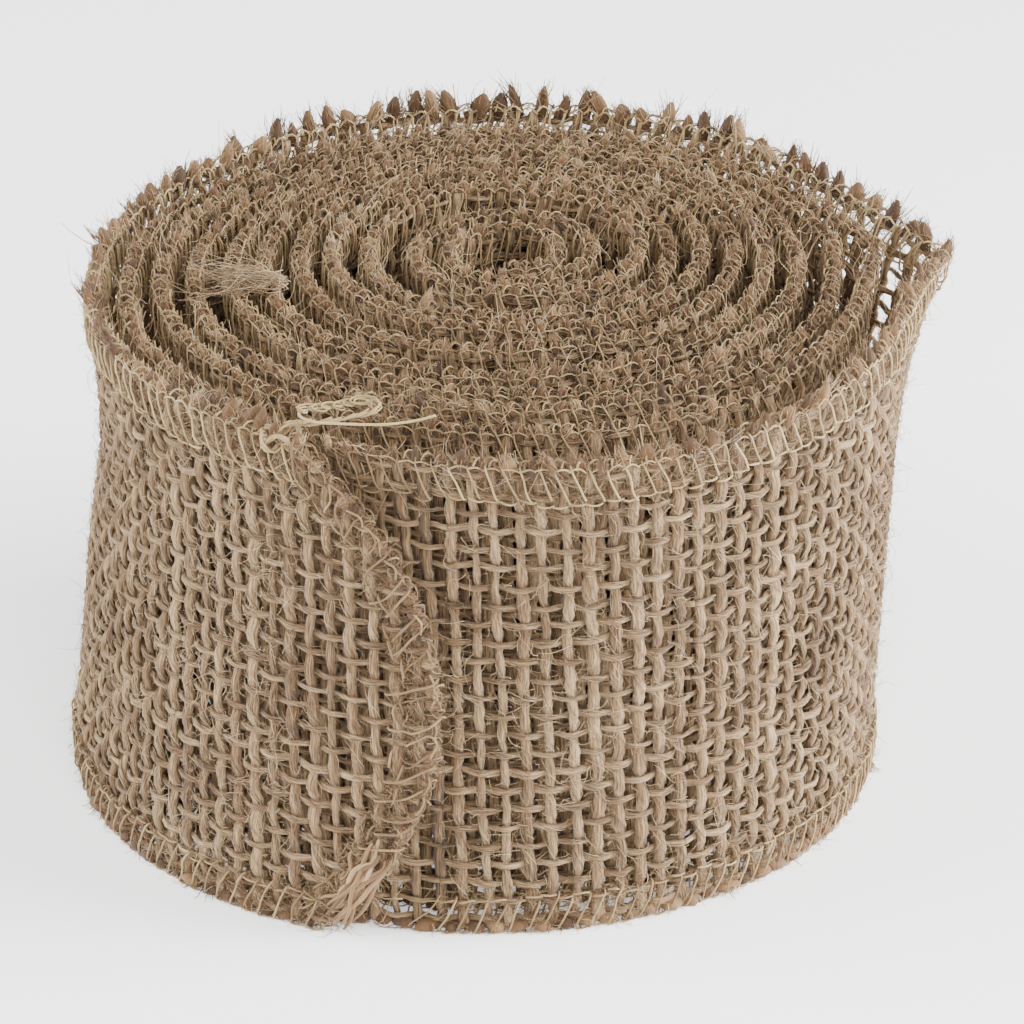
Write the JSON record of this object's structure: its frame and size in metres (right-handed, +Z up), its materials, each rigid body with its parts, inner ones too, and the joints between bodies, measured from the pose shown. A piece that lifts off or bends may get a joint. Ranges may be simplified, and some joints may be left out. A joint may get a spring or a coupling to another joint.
{
  "type": "burlap ribbon roll",
  "caption": "Coreless roll of overlocked woven jute ribbon standing on its edge, with a free end that peels and an inner coil that pushes out.",
  "frame": {"origin": "centre of the roll's footprint, on the surface that it stands on", "axes": "+Z up along the winding axis; +X towards the pinched fold of the outer turn; -Y towards the free end"},
  "size_m": [0.1018, 0.0976, 0.0636],
  "materials": {
    "jute_weave": "matte",
    "straw_thread": "matte"
  },
  "bodies": {
    "outer_roll": {"turn_11_strip": "jute_weave", "turn_11_top_edging": "straw_thread", "turn_11_low_edging": "straw_thread", "turn_10_strip": "jute_weave", "turn_10_top_edging": "straw_thread", "turn_10_low_edging": "straw_thread", "turn_09_strip": "jute_weave", "turn_09_top_edging": "straw_thread", "turn_09_low_edging": "straw_thread"},
    "turn_08": {"turn_08_strip": "jute_weave", "turn_08_top_edging": "straw_thread", "turn_08_low_edging": "straw_thread"},
    "turn_07": {"turn_07_strip": "jute_weave", "turn_07_top_edging": "straw_thread", "turn_07_low_edging": "straw_thread"},
    "turn_06": {"turn_06_strip": "jute_weave", "turn_06_top_edging": "straw_thread", "turn_06_low_edging": "straw_thread"},
    "turn_05": {"turn_05_strip": "jute_weave", "turn_05_top_edging": "straw_thread", "turn_05_low_edging": "straw_thread"},
    "turn_04": {"turn_04_strip": "jute_weave", "turn_04_top_edging": "straw_thread", "turn_04_low_edging": "straw_thread"},
    "turn_03": {"turn_03_strip": "jute_weave", "turn_03_top_edging": "straw_thread", "turn_03_low_edging": "straw_thread"},
    "turn_02": {"turn_02_strip": "jute_weave", "turn_02_top_edging": "straw_thread", "turn_02_low_edging": "straw_thread"},
    "turn_01": {"turn_01_strip": "jute_weave", "turn_01_top_edging": "straw_thread", "turn_01_low_edging": "straw_thread"},
    "tail_1": {"tail_1_strip": "jute_weave", "tail_1_top_edging": "straw_thread", "tail_1_low_edging": "straw_thread"},
    "tail_2": {"tail_2_strip": "jute_weave", "tail_2_top_edging": "straw_thread", "tail_2_low_edging": "straw_thread"},
    "tail_3": {"tail_3_strip": "jute_weave", "tail_3_top_edging": "straw_thread", "tail_3_low_edging": "straw_thread"},
    "tail_4": {"tail_4_strip": "jute_weave", "tail_4_top_edging": "straw_thread", "tail_4_low_edging": "straw_thread"},
    "tail_5": {"tail_5_strip": "jute_weave", "end_edging": "straw_thread", "chain_knot": "straw_thread", "chain_tail": "straw_thread"}
  },
  "joints": [
    {"name": "turn_08_push_out", "type": "slide", "parent": "outer_roll", "child": "turn_08", "axis": [0, 0, 1], "range_m": [0, 0.0035]},
    {"name": "turn_07_push_out", "type": "slide", "parent": "turn_08", "child": "turn_07", "axis": [0, 0, 1], "range_m": [0, 0.0035]},
    {"name": "turn_06_push_out", "type": "slide", "parent": "turn_07", "child": "turn_06", "axis": [0, 0, 1], "range_m": [0, 0.0035]},
    {"name": "turn_05_push_out", "type": "slide", "parent": "turn_06", "child": "turn_05", "axis": [0, 0, 1], "range_m": [0, 0.0035]},
    {"name": "turn_04_push_out", "type": "slide", "parent": "turn_05", "child": "turn_04", "axis": [0, 0, 1], "range_m": [0, 0.0035]},
    {"name": "turn_03_push_out", "type": "slide", "parent": "turn_04", "child": "turn_03", "axis": [0, 0, 1], "range_m": [0, 0.0035]},
    {"name": "turn_02_push_out", "type": "slide", "parent": "turn_03", "child": "turn_02", "axis": [0, 0, 1], "range_m": [0, 0.0035]},
    {"name": "turn_01_push_out", "type": "slide", "parent": "turn_02", "child": "turn_01", "axis": [0, 0, 1], "range_m": [0, 0.0035]},
    {"name": "tail_1_peel", "type": "hinge", "parent": "outer_roll", "child": "tail_1", "pos_m": [-0.0336, 0.03718, 0.03], "axis": [0, 0, -1], "range_deg": [0, 22]},
    {"name": "tail_2_peel", "type": "hinge", "parent": "tail_1", "child": "tail_2", "pos_m": [-0.04691, 0.01922, 0.03], "axis": [0, 0, -1], "range_deg": [0, 22]},
    {"name": "tail_3_peel", "type": "hinge", "parent": "tail_2", "child": "tail_3", "pos_m": [-0.05087, -0.00278, 0.03], "axis": [0, 0, -1], "range_deg": [0, 22]},
    {"name": "tail_4_peel", "type": "hinge", "parent": "tail_3", "child": "tail_4", "pos_m": [-0.04465, -0.02425, 0.03], "axis": [0, 0, -1], "range_deg": [0, 22]},
    {"name": "tail_5_peel", "type": "hinge", "parent": "tail_4", "child": "tail_5", "pos_m": [-0.02956, -0.04074, 0.03], "axis": [0, 0, -1], "range_deg": [0, 22]}
  ],
  "couplings": [
    {"joint": "turn_07_push_out", "follows": "turn_08_push_out", "ratio": 1},
    {"joint": "turn_06_push_out", "follows": "turn_08_push_out", "ratio": 1},
    {"joint": "turn_05_push_out", "follows": "turn_08_push_out", "ratio": 1},
    {"joint": "turn_04_push_out", "follows": "turn_08_push_out", "ratio": 1},
    {"joint": "turn_03_push_out", "follows": "turn_08_push_out", "ratio": 1},
    {"joint": "turn_02_push_out", "follows": "turn_08_push_out", "ratio": 1},
    {"joint": "turn_01_push_out", "follows": "turn_08_push_out", "ratio": 1},
    {"joint": "tail_2_peel", "follows": "tail_1_peel", "ratio": 1},
    {"joint": "tail_3_peel", "follows": "tail_1_peel", "ratio": 1},
    {"joint": "tail_4_peel", "follows": "tail_1_peel", "ratio": 1},
    {"joint": "tail_5_peel", "follows": "tail_1_peel", "ratio": 1}
  ]
}
